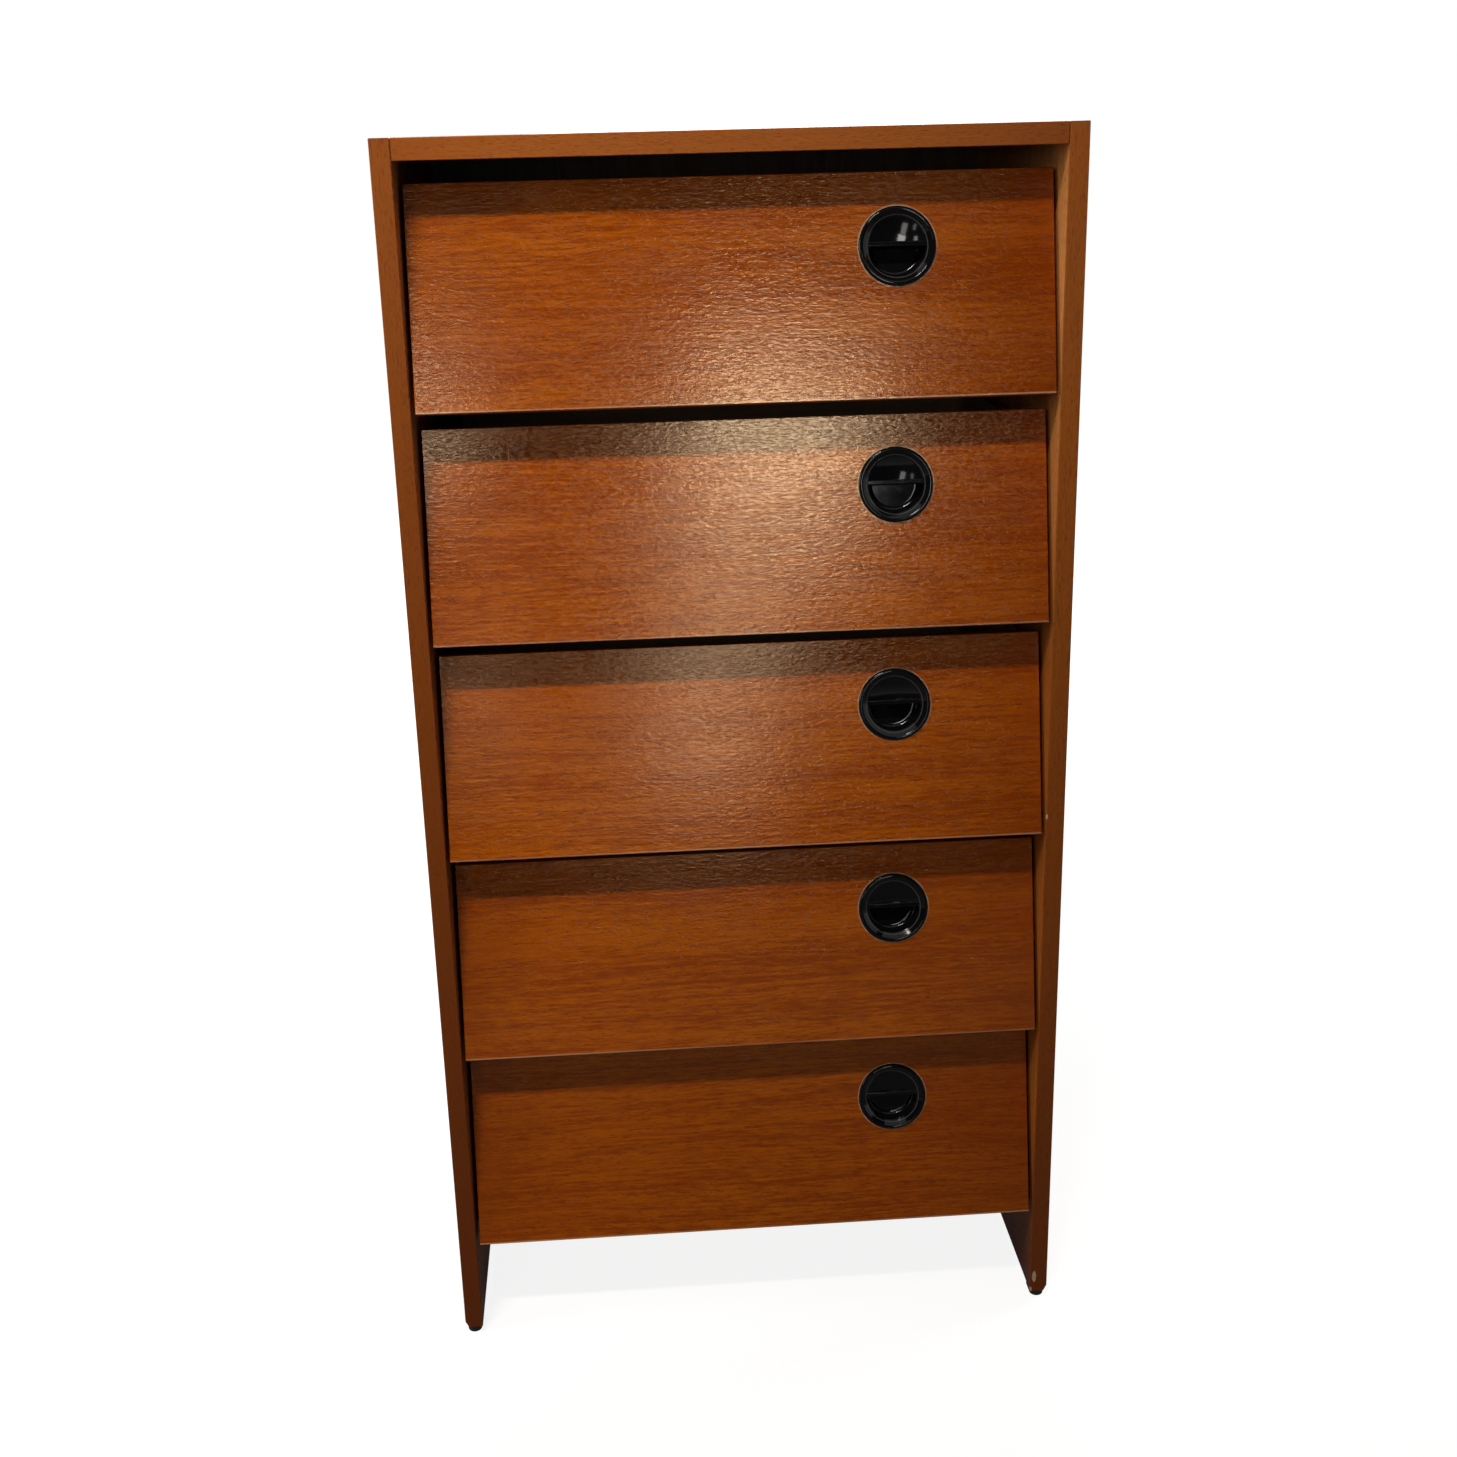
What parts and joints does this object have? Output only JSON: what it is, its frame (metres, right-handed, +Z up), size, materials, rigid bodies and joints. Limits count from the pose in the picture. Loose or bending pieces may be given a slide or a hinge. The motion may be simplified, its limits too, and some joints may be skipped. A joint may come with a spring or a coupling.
{
  "type": "chest of drawers",
  "caption": "Tall, narrow wooden chest of drawers with fronts that lean back, round recessed black pulls, and side panels that run down to the floor as legs.",
  "frame": {"origin": "on the floor under the middle of the chest", "axes": "+Z up, front towards -Y, +X to the right as seen from the front"},
  "size_m": [0.62, 0.4, 1.2],
  "materials": {
    "veneer": "satin varnished hardwood veneer, grain across on the fronts and upright on the sides",
    "drawer_wood": "sanded pale hardwood",
    "runner_wood": "waxed hardwood batten",
    "plywood": "sanded plywood",
    "pull_plastic": "black moulded plastic, glossy",
    "pad_plastic": "black moulded plastic, dull",
    "steel": "bright steel wire",
    "brass": "brassed steel screw"
  },
  "bodies": {
    "carcass": {"left_side_panel": "veneer", "right_side_panel": "veneer", "top_panel": "veneer", "base_panel": "plywood", "back_panel": "plywood", "carcass_dowels": "drawer_wood", "back_pins": "steel", "runner_screws": "brass", "foot_pad_front_left": "pad_plastic", "foot_pad_back_left": "pad_plastic", "foot_pad_front_right": "pad_plastic", "foot_pad_back_right": "pad_plastic", "foot_pad_nails": "steel", "runner_1_left": "runner_wood", "runner_1_right": "runner_wood", "runner_2_left": "runner_wood", "runner_2_right": "runner_wood", "runner_3_left": "runner_wood", "runner_3_right": "runner_wood", "runner_4_left": "runner_wood", "runner_4_right": "runner_wood", "runner_5_left": "runner_wood", "runner_5_right": "runner_wood"},
    "drawer_1": {"drawer_1_front": "veneer", "drawer_1_left_side": "drawer_wood", "drawer_1_right_side": "drawer_wood", "drawer_1_back": "drawer_wood", "drawer_1_bottom": "plywood", "drawer_1_bottom_pins": "steel", "drawer_1_pull": "pull_plastic"},
    "drawer_2": {"drawer_2_front": "veneer", "drawer_2_left_side": "drawer_wood", "drawer_2_right_side": "drawer_wood", "drawer_2_back": "drawer_wood", "drawer_2_bottom": "plywood", "drawer_2_bottom_pins": "steel", "drawer_2_pull": "pull_plastic"},
    "drawer_3": {"drawer_3_front": "veneer", "drawer_3_left_side": "drawer_wood", "drawer_3_right_side": "drawer_wood", "drawer_3_back": "drawer_wood", "drawer_3_bottom": "plywood", "drawer_3_bottom_pins": "steel", "drawer_3_pull": "pull_plastic"},
    "drawer_4": {"drawer_4_front": "veneer", "drawer_4_left_side": "drawer_wood", "drawer_4_right_side": "drawer_wood", "drawer_4_back": "drawer_wood", "drawer_4_bottom": "plywood", "drawer_4_bottom_pins": "steel", "drawer_4_pull": "pull_plastic"},
    "drawer_5": {"drawer_5_front": "veneer", "drawer_5_left_side": "drawer_wood", "drawer_5_right_side": "drawer_wood", "drawer_5_back": "drawer_wood", "drawer_5_bottom": "plywood", "drawer_5_bottom_pins": "steel", "drawer_5_pull": "pull_plastic"}
  },
  "joints": [
    {"name": "drawer_1_slide", "type": "slide", "parent": "carcass", "child": "drawer_1", "axis": [0, -1, 0], "range_m": [0, 0.25]},
    {"name": "drawer_2_slide", "type": "slide", "parent": "carcass", "child": "drawer_2", "axis": [0, -1, 0], "range_m": [0, 0.25]},
    {"name": "drawer_3_slide", "type": "slide", "parent": "carcass", "child": "drawer_3", "axis": [0, -1, 0], "range_m": [0, 0.25]},
    {"name": "drawer_4_slide", "type": "slide", "parent": "carcass", "child": "drawer_4", "axis": [0, -1, 0], "range_m": [0, 0.25]},
    {"name": "drawer_5_slide", "type": "slide", "parent": "carcass", "child": "drawer_5", "axis": [0, -1, 0], "range_m": [0, 0.25]}
  ]
}
